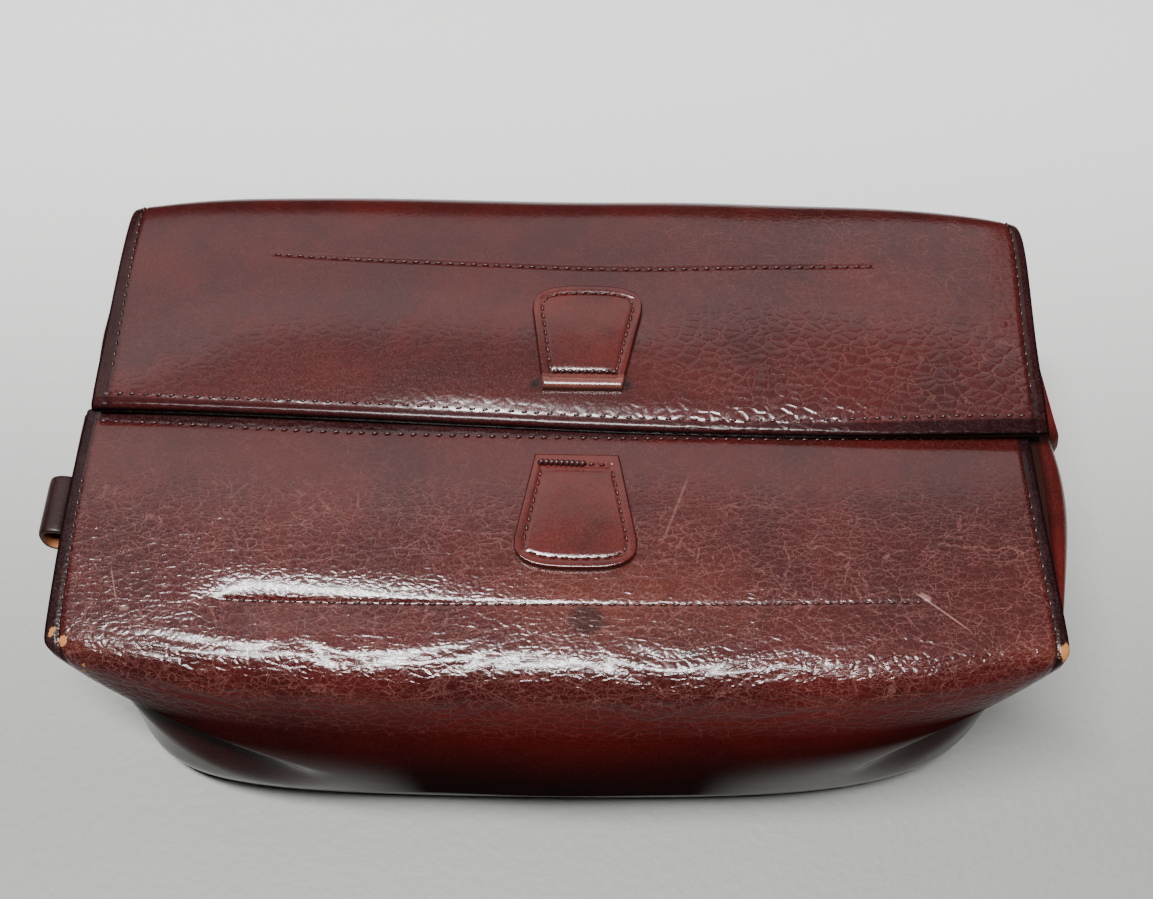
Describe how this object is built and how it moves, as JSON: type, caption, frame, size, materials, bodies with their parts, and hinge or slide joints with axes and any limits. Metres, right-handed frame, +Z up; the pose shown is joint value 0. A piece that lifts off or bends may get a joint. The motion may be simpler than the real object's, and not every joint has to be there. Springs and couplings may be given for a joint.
{
  "type": "toiletry bag",
  "caption": "Soft oblong toiletry bag in glossy oxblood leather, with overlapping top flaps, stitched tabs, bulging gusset ends and a side loop.",
  "frame": {"origin": "middle of the flat base, on the surface that the bag stands on", "axes": "+X along the mouth towards the right end, -Y towards the front, +Z up"},
  "size_m": [0.2983, 0.1782, 0.103],
  "materials": {
    "wrap_leather": "glossy antiqued oxblood, pebbled and worn",
    "gusset_leather": "satin oxblood, smooth",
    "tab_leather": "satin oxblood, edge inked",
    "loop_leather": "satin dark brown outside, raw tan inside"
  },
  "bodies": {
    "root": {"main_panel": "wrap_leather", "gusset_left": "gusset_leather", "gusset_right": "gusset_leather", "tab_rear": "tab_leather", "tab_front": "tab_leather", "side_loop": "loop_leather"}
  },
  "joints": []
}
